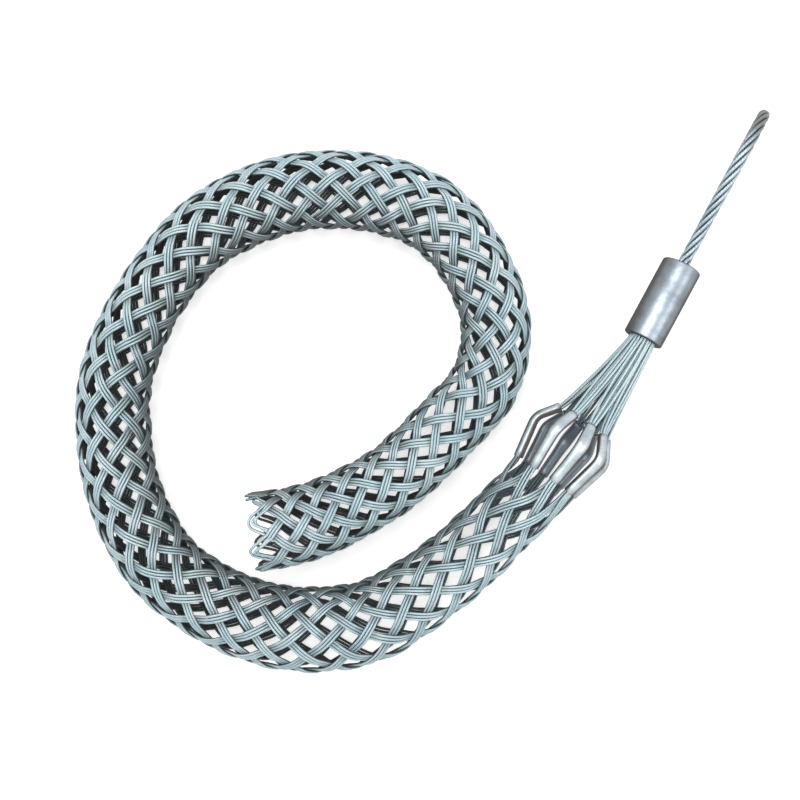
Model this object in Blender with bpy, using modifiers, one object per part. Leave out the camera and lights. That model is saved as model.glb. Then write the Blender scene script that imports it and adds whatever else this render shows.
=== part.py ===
"""Woven wire cable pulling grip, lying coiled as it rests on a floor.

From the pulling end: a wire rope eye, the ferrule pressed on its two legs, the
strand bundles that fan out of the ferrule's mouth, the bent guard tubes they run
through, and the woven sleeve, whose bands start in the tubes' lower ends and turn
back in loops at the open tail.

Metres, +Z up. The floor is z = 0, and the origin is the middle of the plan.
"""

import math

import bmesh
import bpy
from mathutils import Matrix, Vector

SEAT_GAP = 0.0003  # left between pieces that touch

# Woven sleeve
SLEEVE_RADIUS = 0.0265  # outside, over the upper layer of bands, before swelling
BAND_THICKNESS = 0.0020  # one layer of strands; a crossing is two layers
BAND_COVER = 0.42  # width of a band as a share of the space between parallel bands
BAND_EDGE_DROP = 0.0005  # from a band's two crests to its edges
BAND_GROOVE = 0.0008  # between the two crests, which are bands lying side by side
BANDS_EACH_WAY = 4
WEAVE_ROWS = 30  # rows of crossings from the guard tubes to the tail loops
FRONT_ROWS = 0.9  # from the guard tubes to the first crossings, in rows
LOOP_STEPS = 4  # facets round a tail loop
PRONG_HALF_WIDTH = 0.0029  # of a band where it enters a guard tube
PRONG_DEPTH = 0.0060  # of that end in the tube
TAIL_CLEARANCE = 0.0030  # between the tail's mouth and the turn that it lies beside

# Plan route of the sleeve's axis, from the guard tubes round to the tail
COIL_ROUTE = (
    (0.0789, -0.0721),
    (0.0374, -0.1129),
    (-0.0102, -0.1455),
    (-0.0428, -0.1544),
    (-0.0816, -0.1537),
    (-0.1210, -0.1408),
    (-0.1564, -0.1170),
    (-0.1768, -0.0884),
    (-0.1897, -0.0558),
    (-0.1945, -0.0238),
    (-0.1938, 0.0136),
    (-0.1806, 0.0512),
    (-0.1604, 0.0848),
    (-0.1304, 0.1160),
    (-0.0822, 0.1384),
    (-0.0336, 0.1425),
    (0.0102, 0.1319),
    (0.0381, 0.1108),
    (0.0592, 0.0755),
    (0.0653, 0.0442),
    (0.0571, 0.0109),
    (0.0340, -0.0163),
    (-0.0020, -0.0510),
    (-0.0364, -0.0718),
    (-0.0640, -0.0831),
)
TAIL_BESIDE = (-0.1010, -0.1480)  # point of the first turn's axis that the tail lies beside
TAIL_DIRECTION = 83.0  # degrees in plan, from that point to the middle of the tail's mouth
# Share of the sleeve's length, and the sleeve's radius there against SLEEVE_RADIUS
SWELLING = (
    (0.00, 0.93),
    (0.08, 0.97),
    (0.18, 1.09),
    (0.30, 0.98),
    (0.38, 0.96),
    (0.50, 0.90),
    (0.58, 1.00),
    (0.66, 1.01),
    (0.76, 0.92),
    (0.90, 0.93),
    (1.00, 0.98),
)
FRONT_BLEND = 0.10  # share of the length over which the sleeve leaves the circle of tubes

# Guard tubes, in the cage that they form
GUARD_COUNT = 2 * BANDS_EACH_WAY
GUARD_WIDTH = 0.0092  # outside, round the cage
GUARD_HEIGHT = 0.0066  # outside, across the cage
GUARD_WALL = 0.0009
GUARD_SIDES = 10
GUARD_LOWER_RADIUS = 0.0224  # of the tube's axis from the cage's, at the sleeve
GUARD_KNEE_RADIUS = 0.0288
GUARD_UPPER_RADIUS = 0.0190
GUARD_LOWER_RUN = 0.0290  # along the cage, from the lower end to the knee
GUARD_UPPER_RUN = 0.0145  # from the knee to the upper end
GUARD_BEND_STEPS = 3
GUARD_BEND_REACH = 0.0050  # along each leg, from the knee to where its bend starts
CAGE_START = (0.0980, -0.0512)  # plan position of the middle of the lower ends
CAGE_HEADING = 54.3  # degrees in plan, from the sleeve to the ferrule
# Degrees that each tube has settled from its even place in the cage, from the left side up and over
GUARD_SETTLED = (0, 10, 7, 0, 0, 5, -4, -12)
FAN_RUN = 0.0700  # from the tubes' upper ends to the ferrule's mouth

# Ferrule, and the strand bundles in its mouth
FERRULE_RADIUS = 0.0136
FERRULE_LENGTH = 0.0565
FERRULE_CHAMFER = 0.0012
FERRULE_SIDES = 32
MOUTH_LIP = 0.0009
MOUTH_DEPTH = 0.0220
HEAD_HEADING = 61.6  # degrees in plan, along the ferrule to the eye
BUNDLE_RADIUS = 0.0023  # in the ferrule
BUNDLE_CIRCLE = 0.0070  # radius of the circle of bundles in the mouth
BUNDLE_DEPTH = 0.0190  # of a bundle's end in the mouth
BUNDLE_TUBE_DEPTH = 0.0070  # of its other end in a guard tube
BUNDLE_STRANDS = 6
BUNDLE_TWIST = 150.0  # degrees over the bundle's length
BUNDLE_STEPS = 5
HOLLOW = 0.80  # radius in the hollows between strands, as a share of that at their crests

# Wire rope eye
EYE_ROPE_RADIUS = 0.0040
EYE_LENGTH = 0.1180  # from the ferrule's nose to the outside of the bend
EYE_HALF_WIDTH = 0.0255  # of the rope's axis, at the widest
EYE_NECK = 0.0080  # over which the legs run straight out of the nose
EYE_ROLL = 10.0  # degrees that the eye's plane leans from upright
EYE_LEG_DEPTH = 0.0230  # of each leg in the ferrule
EYE_LEG_SPACE = 0.0008  # metal between the two sockets in the nose
EYE_STEPS = 46
ROPE_STRANDS = 6
ROPE_LAY = 0.0540  # length of one full twist


def clear_scene():
    for obj in list(bpy.data.objects):
        bpy.data.objects.remove(obj)


def new_collection(name):
    collection = bpy.data.collections.new(name)
    bpy.context.scene.collection.children.link(collection)
    return collection


def new_material(name, colour, roughness, metallic):
    material = bpy.data.materials.new(name)
    material.use_nodes = True
    shader = material.node_tree.nodes["Principled BSDF"]
    shader.inputs["Base Color"].default_value = (*colour, 1)
    shader.inputs["Roughness"].default_value = roughness
    shader.inputs["Metallic"].default_value = metallic
    return material


def add_object(name, data, collection, material):
    """Puts finished mesh or curve data into the scene as one named object."""
    obj = bpy.data.objects.new(name, data)
    obj.parent = bpy.data.objects["grip_origin"]
    obj.data.materials.append(material)
    collection.objects.link(obj)
    return obj


def finish_mesh(name, bm, sharp_angle):
    """Mesh with outward faces, smooth below the given angle."""
    mesh = bpy.data.meshes.new(name)
    bmesh.ops.recalc_face_normals(bm, faces=bm.faces)
    bm.to_mesh(mesh)
    bm.free()
    mesh.shade_smooth()
    mesh.set_sharp_from_angle(angle=math.radians(sharp_angle))
    return mesh


def hide_guide(obj):
    obj.hide_render = True
    obj.display_type = "WIRE"


def new_curve(name, points, cyclic=False, tilt=0.0, radii=None):
    """Straight-sided curve through points, with an even tilt from its start to its end."""
    curve = bpy.data.curves.new(name, "CURVE")
    curve.dimensions = "3D"
    spline = curve.splines.new("POLY")
    spline.points.add(len(points) - 1)
    spline.use_cyclic_u = cyclic
    for i, (place, point) in enumerate(zip(points, spline.points)):
        point.co = (*place, 1)
        point.tilt = tilt * i / (len(points) - 1)
        if radii:
            point.radius = radii[i]
    return curve


def add_profile(name, points, collection, material):
    """Closed outline that a curve is swept with."""
    flat = [(x, y, 0) for x, y in points]
    profile = add_object(name, new_curve(name, flat, cyclic=True), collection, material)
    hide_guide(profile)
    return profile


def oval_points(half_width, half_height, count):
    """Points of an oval, with a flat facing each way."""
    points = []
    for step in range(count):
        angle = 2 * math.pi * (step + 0.5) / count
        points.append((half_width * math.cos(angle), -half_height * math.sin(angle)))
    return points


def lobed_points(radius, strands):
    """Points of a twisted rope's section, with a crest at each strand."""
    points = []
    for step in range(2 * strands):
        angle = math.pi * step / strands
        size = radius if step % 2 == 0 else radius * HOLLOW
        points.append((size * math.cos(angle), -size * math.sin(angle)))
    return points


def smoothstep(share):
    share = min(1.0, max(0.0, share))
    return share * share * (3 - 2 * share)


def between(table, share):
    """Smoothly read value of a table of (share, value) pairs."""
    for (low, first), (high, second) in zip(table, table[1:]):
        if share <= high:
            return first + (second - first) * smoothstep((share - low) / (high - low))
    return table[-1][1]


def spline_through(points, steps):
    """Points of a smooth curve through the given ones, whose two outer points only steer."""
    line = []
    for a, b, c, d in zip(points, points[1:], points[2:], points[3:]):
        for step in range(steps):
            t = step / steps
            pull = (c - a) * t + (2 * a - 5 * b + 4 * c - d) * t**2 + (3 * b - a - 3 * c + d) * t**3
            line.append(b + 0.5 * pull)
    return line + [points[-2]]


def lengths_along(line):
    along = [0.0]
    for first, second in zip(line, line[1:]):
        along.append(along[-1] + (second - first).length)
    return along


def point_along(line, along, distance):
    """Point of a line at a distance along it, and the direction there."""
    index = 1
    while index < len(along) - 1 and along[index] < distance:
        index += 1
    part = (distance - along[index - 1]) / (along[index] - along[index - 1])
    low, high = max(index - 2, 0), min(index + 1, len(line) - 1)
    direction = (line[index] - line[low]).lerp(line[high] - line[index - 1], part)
    return line[index - 1].lerp(line[index], part), direction.normalized()


def even_line(line, count):
    """The same line as (point, direction) pairs at even distances."""
    along = lengths_along(line)
    return [point_along(line, along, along[-1] * step / count) for step in range(count + 1)]


class Axis:
    """A level axis with its forward direction and its left."""

    def __init__(self, point, forward):
        self.point = point
        self.forward = Vector((forward.x, forward.y, 0)).normalized()
        self.left = Vector((-self.forward.y, self.forward.x, 0))

    def outward(self, angle):
        """Direction at an angle that goes from the left over the top."""
        return self.left * math.cos(angle) + Vector((0, 0, math.sin(angle)))

    def around(self, angle):
        return Vector((0, 0, math.cos(angle))) - self.left * math.sin(angle)

    def at(self, along, radius=0.0, angle=0.0):
        return self.point + self.forward * along + self.outward(angle) * radius


def heading(degrees):
    return Vector((math.cos(math.radians(degrees)), math.sin(math.radians(degrees)), 0))


def cage_axis():
    """The guard tubes' axis, from the middle of their lower ends. The lowest knee is on the floor."""
    tilt = min(abs(guard_angle(index) - 1.5 * math.pi) for index in range(GUARD_COUNT))
    reach = math.hypot(GUARD_HEIGHT / 2 * math.cos(tilt), GUARD_WIDTH / 2 * math.sin(tilt))
    height = GUARD_KNEE_RADIUS * math.cos(tilt) + reach
    return Axis(Vector((*CAGE_START, height)), heading(CAGE_HEADING))


def head_axis():
    """The ferrule's axis, from the middle of its mouth. The eye's lower leg is on the floor."""
    mouth = cage_axis().at(GUARD_LOWER_RUN + GUARD_UPPER_RUN + FAN_RUN)
    mouth.z = EYE_HALF_WIDTH * math.cos(math.radians(EYE_ROLL)) + EYE_ROPE_RADIUS
    return Axis(mouth, heading(HEAD_HEADING))


def even_angle(place):
    return 2 * math.pi * place / GUARD_COUNT


def guard_angle(index):
    settled = GUARD_SETTLED[index % len(GUARD_SETTLED)]
    return even_angle(index) + math.radians(settled)


def front_radius():
    """Outside of the sleeve where its bands leave the guard tubes."""
    return GUARD_LOWER_RADIUS + BAND_THICKNESS


def sleeve_radius(share):
    free = SLEEVE_RADIUS * between(SWELLING, share)
    return front_radius() + (free - front_radius()) * smoothstep(share / FRONT_BLEND)


def sleeve_height(share):
    """Height of the axis, which comes down from the cage until the sleeve lies on the floor."""
    lift = cage_axis().point.z - front_radius()
    return sleeve_radius(share) + lift * (1 - smoothstep(share / FRONT_BLEND))


def sleeve_line():
    """Plan points of the sleeve's axis, from the guard tubes to the tail."""
    cage = cage_axis()
    start = Vector((*CAGE_START, 0))
    route = [Vector((*point, 0)) for point in COIL_ROUTE]
    reach = sleeve_radius(0.2) + sleeve_radius(1) + TAIL_CLEARANCE
    tail = Vector((*TAIL_BESIDE, 0)) + heading(TAIL_DIRECTION) * reach
    before = start + cage.forward * (route[0] - start).length
    beyond = tail + (tail - route[-1])
    return spline_through([before, start, *route, tail, beyond], 12)


class Sleeve:
    """Wraps the flat pattern of the weave, in rows and turns, round the coiled axis."""

    def __init__(self):
        self.line = sleeve_line()
        self.along = lengths_along(self.line)
        self.length = self.along[-1]

    def share(self, row):
        return (row + FRONT_ROWS) / (WEAVE_ROWS + FRONT_ROWS)

    def axis(self, share):
        point, direction = point_along(self.line, self.along, share * self.length)
        return Axis(Vector((point.x, point.y, sleeve_height(share))), -direction)

    def angle(self, turn):
        """A whole turn number is halfway between the even places of two guard tubes."""
        return even_angle(turn + 0.5)

    def point(self, row, turn, depth):
        share = self.share(row)
        return self.axis(share).at(0, sleeve_radius(share) - depth, self.angle(turn))


# Across a band: the share of its width, and the drop from its crests
BAND_PROFILE = (
    (0.00, BAND_EDGE_DROP),
    (0.25, 0.0),
    (0.50, BAND_GROOVE),
    (0.75, 0.0),
    (1.00, BAND_EDGE_DROP),
)
RISING, FALLING = 1, -1
FRONT, TAIL = -1, 1


def guard_path():
    """Distance along the cage and radius of a guard tube's axis at its ends and round its bend."""
    knee = Vector((GUARD_LOWER_RUN, GUARD_KNEE_RADIUS))
    lower = Vector((0.0, GUARD_LOWER_RADIUS))
    upper = Vector((GUARD_LOWER_RUN + GUARD_UPPER_RUN, GUARD_UPPER_RADIUS))
    start = knee + (lower - knee).normalized() * GUARD_BEND_REACH
    end = knee + (upper - knee).normalized() * GUARD_BEND_REACH
    bend = []
    for step in range(GUARD_BEND_STEPS + 1):
        t = step / GUARD_BEND_STEPS
        bend.append(start * (1 - t) ** 2 + knee * 2 * t * (1 - t) + end * t**2)
    return [lower, *bend, upper]


class Weave:
    """The woven wall as one closed surface with open gaps.

    Crossings lie at (row, turn) pairs with an even sum. A rising band runs through
    (row + n, turn + n), a falling band through (row + n, turn - n). The rising band is
    the upper one in even rows, so that each band goes over one and under the next.
    """

    def __init__(self, sleeve):
        self.sleeve = sleeve
        self.bm = bmesh.new()
        self.made = {}

    def vertex(self, place, depth):
        """The one vertex at a place of the flat pattern."""
        row, turn = place
        key = (round(row, 5), round(turn, 5) % GUARD_COUNT, round(depth, 6))
        if key not in self.made:
            self.made[key] = self.bm.verts.new(self.sleeve.point(row, turn, depth))
        return self.made[key]

    def face(self, *corners):
        kept = [v for i, v in enumerate(corners) if v is not corners[i - 1]]
        self.bm.faces.new(kept)

    def strip(self, first, second):
        for a, b, c, d in zip(first, first[1:], second[1:], second):
            self.face(a, b, c, d)

    def depth(self, row, way):
        """How far a band's crests lie below the sleeve's outside at a crossing."""
        if row == WEAVE_ROWS:
            return BAND_THICKNESS / 2
        upper = RISING if row % 2 == 0 else FALLING
        return 0.0 if way == upper else BAND_THICKNESS

    def section(self, first, last, depth):
        """A band's upper vertices from one edge to the other, and its two lower ones."""
        top = []
        for across, drop in BAND_PROFILE:
            if depth == BAND_THICKNESS and across in (0, 1):
                drop = 0.0
            place = [a + (b - a) * across for a, b in zip(first, last)]
            top.append(self.vertex(place, depth + drop))
        return top, [self.vertex(place, depth + BAND_THICKNESS) for place in (first, last)]

    def end(self, row, turn, way, side):
        """Section of a band where it meets the front or the tail side of a crossing."""
        cover = BAND_COVER
        if side == FRONT:
            return self.section((row, turn - way * cover), (row - cover, turn), self.depth(row, way))
        return self.section((row + cover, turn), (row, turn + way * cover), self.depth(row, way))

    def crossing(self, row, turn):
        """The upper band's top, the lower band's underside and the steps between them."""
        way = RISING if self.depth(row, RISING) == 0 else FALLING
        front, front_low = self.end(row, turn, way, FRONT)
        tail, tail_low = self.end(row, turn, way, TAIL)
        under_front, under_front_low = self.end(row, turn, -way, FRONT)
        under_tail, under_tail_low = self.end(row, turn, -way, TAIL)
        self.strip(front, tail)
        self.face(front[0], tail[0], *under_tail)
        self.face(front[-1], tail[-1], *under_front)
        self.face(under_front_low[0], under_tail_low[0], under_tail_low[1], under_front_low[1])
        self.face(*front_low, under_front_low[1], under_tail_low[1])
        self.face(*tail_low, under_front_low[0], under_tail_low[0])

    def band(self, first, second):
        """A length of band between two sections."""
        top, low = first
        next_top, next_low = second
        self.strip(top, next_top)
        self.face(low[0], next_low[1], low[1])
        self.face(low[0], next_low[0], next_low[1])
        self.face(top[0], next_top[0], next_low[0], low[0])
        self.face(top[-1], next_top[-1], next_low[1], low[1])

    def prong_section(self, guard, way, along):
        """Section of a band's end in a guard tube, on the tube's own axis."""
        cage, angle = cage_axis(), guard_angle(guard)
        lower, next_point = guard_path()[:2]
        middle = lower.y + (next_point.y - lower.y) * along / (next_point.x - lower.x)
        sideways = cage.around(angle) * PRONG_HALF_WIDTH * way

        def at(across, drop):
            radius = middle + BAND_THICKNESS / 2 - drop
            return self.bm.verts.new(cage.at(along, radius, angle) + sideways * (2 * across - 1))

        top = [at(across, drop) for across, drop in BAND_PROFILE]
        return top, [at(0, BAND_THICKNESS), at(1, BAND_THICKNESS)]

    def prong(self, turn, way):
        guard = turn if way == RISING else turn + 1
        outside = self.prong_section(guard, way, -PRONG_HALF_WIDTH)
        inside = self.prong_section(guard, way, PRONG_DEPTH)
        self.band(self.end(0, turn, way, FRONT), outside)
        self.band(outside, inside)
        top, low = inside
        self.face(*top, low[1], low[0])

    def loop(self, turn):
        """The tail loop that a rising band makes to go back as a falling one."""
        share = self.sleeve.share(WEAVE_ROWS)
        row_length = self.sleeve.length / (WEAVE_ROWS + FRONT_ROWS)
        turn_length = sleeve_radius(share) * 2 * math.pi / GUARD_COUNT
        crotch = (WEAVE_ROWS - BAND_COVER, turn)
        half = math.atan2(turn_length, row_length)
        reach = BAND_COVER * math.hypot(turn_length, row_length)
        sections = [self.end(WEAVE_ROWS, turn, RISING, FRONT)]
        for step in range(1, LOOP_STEPS):
            angle = half * (2 * step / LOOP_STEPS - 1)
            outer = (
                crotch[0] + reach * math.cos(angle) / row_length,
                turn + reach * math.sin(angle) / turn_length,
            )
            sections.append(self.section(outer, crotch, BAND_THICKNESS / 2))
        sections.append(self.end(WEAVE_ROWS, turn, FALLING, FRONT))
        for (top, low), (next_top, next_low) in zip(sections, sections[1:]):
            self.strip(top, next_top)
            self.face(low[0], next_low[0], low[1])
            self.face(top[0], next_top[0], next_low[0], low[0])


def build_sleeve(collection, material):
    weave = Weave(Sleeve())
    for row in range(WEAVE_ROWS + 1):
        for turn in range(row % 2, GUARD_COUNT, 2):
            if row == WEAVE_ROWS:
                weave.loop(turn)
                continue
            weave.crossing(row, turn)
            for way in (RISING, FALLING):
                weave.band(weave.end(row, turn, way, TAIL), weave.end(row + 1, turn + way, way, FRONT))
                if row == 0:
                    weave.prong(turn, way)
    mesh = finish_mesh("woven_sleeve", weave.bm, 40)
    return add_object("woven_sleeve", mesh, collection, material)


def place_guard_tube(obj, index):
    """Turns a tube, drawn along X with the cage's axis at Z = 0, to its place in the cage."""
    cage = cage_axis()
    outward = cage.outward(guard_angle(index))
    across = outward.cross(cage.forward)
    turned = Matrix((cage.forward, across, outward)).transposed()
    obj.matrix_local = Matrix.Translation(cage.point) @ turned.to_4x4()


def build_guard_tubes(collection, guides, material):
    profile = add_profile(
        "guard_tube_section", oval_points(GUARD_WIDTH / 2, GUARD_HEIGHT / 2, GUARD_SIDES), guides, material
    )
    tubes = []
    for index in range(GUARD_COUNT):
        name = f"guard_tube_{index + 1}"
        curve = new_curve(name, [(place.x, 0, place.y) for place in guard_path()])
        curve.twist_mode = "Z_UP"
        curve.bevel_mode = "OBJECT"
        curve.bevel_object = profile
        tube = add_object(name, curve, collection, material)
        place_guard_tube(tube, index)
        wall = tube.modifiers.new("wall", "SOLIDIFY")
        wall.thickness = GUARD_WALL
        wall.offset = -1
        tubes.append(tube)
    return tubes


def build_bundle(collection, material, profile, index):
    """Strands from inside a guard tube's upper end to inside the ferrule's mouth."""
    cage, head, angle = cage_axis(), head_axis(), guard_angle(index)
    knee, upper = guard_path()[-2:]
    leg = (upper - knee).normalized()
    in_tube = []
    for reach in (-BUNDLE_TUBE_DEPTH, BUNDLE_RADIUS):
        place = upper + leg * reach
        in_tube.append(cage.at(place.x, place.y, angle))
    in_mouth = []
    for along in (-BUNDLE_RADIUS, BUNDLE_DEPTH):
        in_mouth.append(head.at(along, BUNDLE_CIRCLE, even_angle(index)))
    fan = spline_through([*in_tube, *in_mouth], BUNDLE_STEPS)
    bore = (GUARD_HEIGHT / 2 - GUARD_WALL) * math.cos(math.pi / GUARD_SIDES)
    slim = (bore - SEAT_GAP) / BUNDLE_RADIUS
    radii = [slim] + [slim + (1 - slim) * smoothstep(i / BUNDLE_STEPS) for i in range(len(fan))] + [1]
    points = [in_tube[0], *fan, in_mouth[1]]
    name = f"strand_bundle_{index + 1}"
    curve = new_curve(name, points, tilt=math.radians(BUNDLE_TWIST), radii=radii)
    curve.bevel_mode = "OBJECT"
    curve.bevel_object = profile
    curve.use_fill_caps = True
    return add_object(name, curve, collection, material)


def eye_upright(head):
    """Direction across the eye in its own plane."""
    roll = math.radians(EYE_ROLL)
    return Vector((0, 0, math.cos(roll))) + head.left * math.sin(roll)


def leg_offset():
    return EYE_ROPE_RADIUS + SEAT_GAP + EYE_LEG_SPACE / 2


def eye_places():
    """Distance from the nose and height above the ferrule's axis, from one leg's end to the other's."""
    widest = EYE_LENGTH - EYE_ROPE_RADIUS - EYE_HALF_WIDTH
    slope, spread = widest - EYE_NECK, EYE_HALF_WIDTH - leg_offset()
    leg = [
        (-EYE_LEG_DEPTH, leg_offset()),
        (0.0, leg_offset()),
        (EYE_NECK, leg_offset()),
        (EYE_NECK + slope * 0.35, leg_offset() + spread * 0.42),
        (EYE_NECK + slope * 0.72, leg_offset() + spread * 0.88),
    ]
    bend = []
    for step in range(4):
        angle = math.pi * step / 8
        bend.append((widest + EYE_HALF_WIDTH * math.sin(angle), EYE_HALF_WIDTH * math.cos(angle)))
    half = leg + bend
    return half + [(widest + EYE_HALF_WIDTH, 0.0)] + [(along, -out) for along, out in reversed(half)]


def build_eye(collection, guides, material):
    head = head_axis()
    across = eye_upright(head)
    points = [head.at(FERRULE_LENGTH + along) + across * out for along, out in eye_places()]
    before = points[0] * 2 - points[1]
    beyond = points[-1] * 2 - points[-2]
    line = spline_through([before, *points, beyond], 8)
    length = lengths_along(line)[-1]
    even = [point for point, direction in even_line(line, EYE_STEPS)]
    curve = new_curve("eye_rope", even, tilt=2 * math.pi * length / ROPE_LAY)
    curve.bevel_mode = "OBJECT"
    curve.bevel_object = add_profile(
        "rope_section", lobed_points(EYE_ROPE_RADIUS, ROPE_STRANDS), guides, material
    )
    curve.use_fill_caps = True
    return add_object("eye_rope", curve, collection, material)


def mouth_radius():
    return (BUNDLE_CIRCLE + BUNDLE_RADIUS + SEAT_GAP) / math.cos(math.pi / FERRULE_SIDES)


def ferrule_profile():
    """Radius and height of the half section, from the nose down the outside and up into the mouth."""
    mouth, chamfer = mouth_radius(), FERRULE_CHAMFER
    return [
        (0.0, FERRULE_LENGTH),
        (FERRULE_RADIUS - chamfer, FERRULE_LENGTH),
        (FERRULE_RADIUS - chamfer * 0.3, FERRULE_LENGTH - chamfer * 0.3),
        (FERRULE_RADIUS, FERRULE_LENGTH - chamfer),
        (FERRULE_RADIUS, chamfer),
        (FERRULE_RADIUS - chamfer * 0.3, chamfer * 0.3),
        (FERRULE_RADIUS - chamfer, 0.0),
        (mouth + MOUTH_LIP, 0.0),
        (mouth, MOUTH_LIP),
        (mouth, MOUTH_DEPTH),
        (0.0, MOUTH_DEPTH),
    ]


def turn_to_head(obj, point):
    """Places an object at a point with its Z along the ferrule's axis."""
    turned = head_axis().forward.to_track_quat("Z", "Y")
    obj.matrix_local = Matrix.Translation(point) @ turned.to_matrix().to_4x4()


def build_socket_cutter(guides, material, side, word):
    """Cylinder that cuts one eye leg's socket into the nose."""
    radius = (EYE_ROPE_RADIUS + SEAT_GAP) / math.cos(math.pi / GUARD_SIDES)
    depth = EYE_LEG_DEPTH + SEAT_GAP + EYE_NECK
    bm = bmesh.new()
    bmesh.ops.create_cone(
        bm, cap_ends=True, segments=GUARD_SIDES, radius1=radius, radius2=radius, depth=depth
    )
    name = f"{word}_leg_socket"
    cutter = add_object(name, finish_mesh(name, bm, 50), guides, material)
    head = head_axis()
    middle = FERRULE_LENGTH + EYE_NECK - depth / 2
    turn_to_head(cutter, head.at(middle) + eye_upright(head) * leg_offset() * side)
    hide_guide(cutter)
    return cutter


def build_ferrule(collection, guides, material):
    mesh = bpy.data.meshes.new("ferrule")
    profile = [(radius, 0, height) for radius, height in ferrule_profile()]
    mesh.from_pydata(profile, [(i, i + 1) for i in range(len(profile) - 1)], [])
    ferrule = add_object("ferrule", mesh, collection, material)
    turn_to_head(ferrule, head_axis().point)
    turning = ferrule.modifiers.new("turning", "SCREW")
    turning.steps = FERRULE_SIDES
    turning.render_steps = FERRULE_SIDES
    turning.use_merge_vertices = True
    turning.merge_threshold = 0.00001
    for side, word in ((1, "upper"), (-1, "lower")):
        cut = ferrule.modifiers.new(f"{word} leg socket", "BOOLEAN")
        cut.object = build_socket_cutter(guides, material, side, word)
        cut.operation = "DIFFERENCE"
        cut.solver = "EXACT"
    return ferrule


def centre_in_plan(objects):
    """Moves the whole grip so that the origin is the middle of its plan, on the floor."""
    bpy.context.view_layer.update()
    depsgraph = bpy.context.evaluated_depsgraph_get()
    corners = []
    for obj in objects:
        mesh = obj.evaluated_get(depsgraph).to_mesh()
        corners += [obj.matrix_world @ vertex.co for vertex in mesh.vertices]
    low = [min(corner[i] for corner in corners) for i in range(3)]
    high = [max(corner[i] for corner in corners) for i in range(3)]
    origin = bpy.data.objects["grip_origin"]
    origin.location = (-(low[0] + high[0]) / 2, -(low[1] + high[1]) / 2, -low[2])
    bpy.context.view_layer.update()


def main():
    clear_scene()
    parts = new_collection("cable_pulling_grip")
    guides = new_collection("guides_and_cutters")
    parts.objects.link(bpy.data.objects.new("grip_origin", None))
    strand = new_material("galvanised_strand", (0.52, 0.60, 0.63), 0.42, 0.85)
    bright = new_material("bright_tube", (0.78, 0.79, 0.80), 0.22, 1.0)
    pressed = new_material("pressed_aluminium", (0.74, 0.75, 0.77), 0.34, 1.0)
    rope = new_material("wire_rope", (0.60, 0.64, 0.67), 0.38, 0.9)
    bundle_section = add_profile(
        "bundle_section", lobed_points(BUNDLE_RADIUS, BUNDLE_STRANDS), guides, strand
    )
    objects = [build_sleeve(parts, strand), *build_guard_tubes(parts, guides, bright)]
    for index in range(GUARD_COUNT):
        objects.append(build_bundle(parts, strand, bundle_section, index))
    objects.append(build_ferrule(parts, guides, pressed))
    objects.append(build_eye(parts, guides, rope))
    centre_in_plan(objects)


main()
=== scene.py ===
"""Dresses the cable pulling grip: woven wire strands, guard tubes, ferrule and rope eye."""

import math

import bpy
import numpy as np
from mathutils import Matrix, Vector


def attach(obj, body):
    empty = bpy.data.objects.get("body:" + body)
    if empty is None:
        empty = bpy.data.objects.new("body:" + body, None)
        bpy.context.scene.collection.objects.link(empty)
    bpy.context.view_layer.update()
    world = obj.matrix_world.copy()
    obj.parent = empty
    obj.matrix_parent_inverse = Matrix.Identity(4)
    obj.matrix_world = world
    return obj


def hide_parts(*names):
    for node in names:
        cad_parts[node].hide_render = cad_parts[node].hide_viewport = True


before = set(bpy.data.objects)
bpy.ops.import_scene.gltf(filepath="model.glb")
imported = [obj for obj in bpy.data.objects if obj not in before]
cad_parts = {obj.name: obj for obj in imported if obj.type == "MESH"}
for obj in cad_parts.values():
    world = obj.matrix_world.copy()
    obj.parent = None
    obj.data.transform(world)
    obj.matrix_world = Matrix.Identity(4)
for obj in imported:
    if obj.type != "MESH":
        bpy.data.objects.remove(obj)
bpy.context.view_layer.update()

# The model's own frame: where the route's zero lies, as in the CAD
ORIGIN = np.array((-0.01487, -0.00537, -0.00025))
UP = np.array((0.0, 0.0, 1.0))

# Sleeve, from the guard tubes to the tail, as in the CAD
SLEEVE_RADIUS = 0.0265
FRONT_BLEND = 0.10
TAIL_CLEARANCE = 0.0030
COIL_ROUTE = (
    (0.0789, -0.0721), (0.0374, -0.1129), (-0.0102, -0.1455), (-0.0428, -0.1544),
    (-0.0816, -0.1537), (-0.1210, -0.1408), (-0.1564, -0.1170), (-0.1768, -0.0884),
    (-0.1897, -0.0558), (-0.1945, -0.0238), (-0.1938, 0.0136), (-0.1806, 0.0512),
    (-0.1604, 0.0848), (-0.1304, 0.1160), (-0.0822, 0.1384), (-0.0336, 0.1425),
    (0.0102, 0.1319), (0.0381, 0.1108), (0.0592, 0.0755), (0.0653, 0.0442),
    (0.0571, 0.0109), (0.0340, -0.0163), (-0.0020, -0.0510), (-0.0364, -0.0718),
    (-0.0640, -0.0831),
)
TAIL_BESIDE = (-0.1010, -0.1480)  # place on the first turn that the tail lies beside
TAIL_BESIDE_SHARE = 0.2  # of the sleeve's length, there
TAIL_DIRECTION = 83.0
SPLINE_STEPS = 24
# As in the CAD, with the tail's mouth a little wider
SWELLING = (
    (0.00, 0.93), (0.08, 0.97), (0.18, 1.09), (0.30, 0.98), (0.38, 0.96), (0.50, 0.90),
    (0.58, 1.00), (0.66, 1.01), (0.76, 0.92), (0.90, 0.93), (1.00, 1.03),
)

# Weave
BANDS = 8  # each way
STRAND_RADIUS = 0.00098
STRAND_SPACE = 0.00195  # from one strand of a band to the next
# Share of the sleeve's length, and the space along a band there from one crossing to the next
CROSSING_SPACE = ((0.0, 0.0166), (0.25, 0.0160), (0.5, 0.0151), (0.8, 0.0146), (1.0, 0.0136))
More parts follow.
